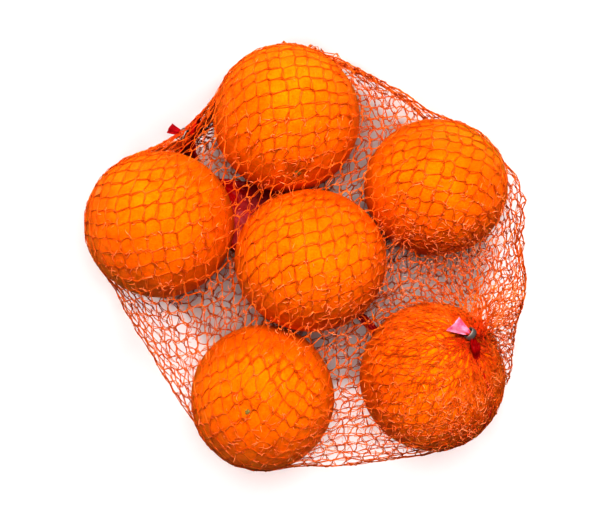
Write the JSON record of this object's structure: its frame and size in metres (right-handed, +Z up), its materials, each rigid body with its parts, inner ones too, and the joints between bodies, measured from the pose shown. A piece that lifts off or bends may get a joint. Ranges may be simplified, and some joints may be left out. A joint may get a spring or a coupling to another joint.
{
  "type": "net bag of oranges",
  "caption": "Orange mesh net bag of oranges lying on its side, each gathered end held by a small metal clip with a tail of red film.",
  "frame": {"origin": "on the surface the bag lies on, under the middle of its bounding box", "axes": "+Z up, +Y towards the end of the pile with one fruit alone, +X towards the side where the net hangs loose"},
  "size_m": [0.2181, 0.2103, 0.0798],
  "materials": {
    "net_of_oranges": "dimpled orange peel under an orange-red plastic net",
    "net_thread": "bunched thin polyethylene threads",
    "clip_steel": "dull crimped wire",
    "red_film": "thin glossy film"
  },
  "bodies": {
    "root": {"net_bag": "net_of_oranges", "net_neck_near": "net_thread", "clip_near": "clip_steel", "film_tail_near": "red_film", "net_neck_far": "net_thread", "clip_far": "clip_steel", "film_tail_far": "red_film"}
  },
  "joints": []
}
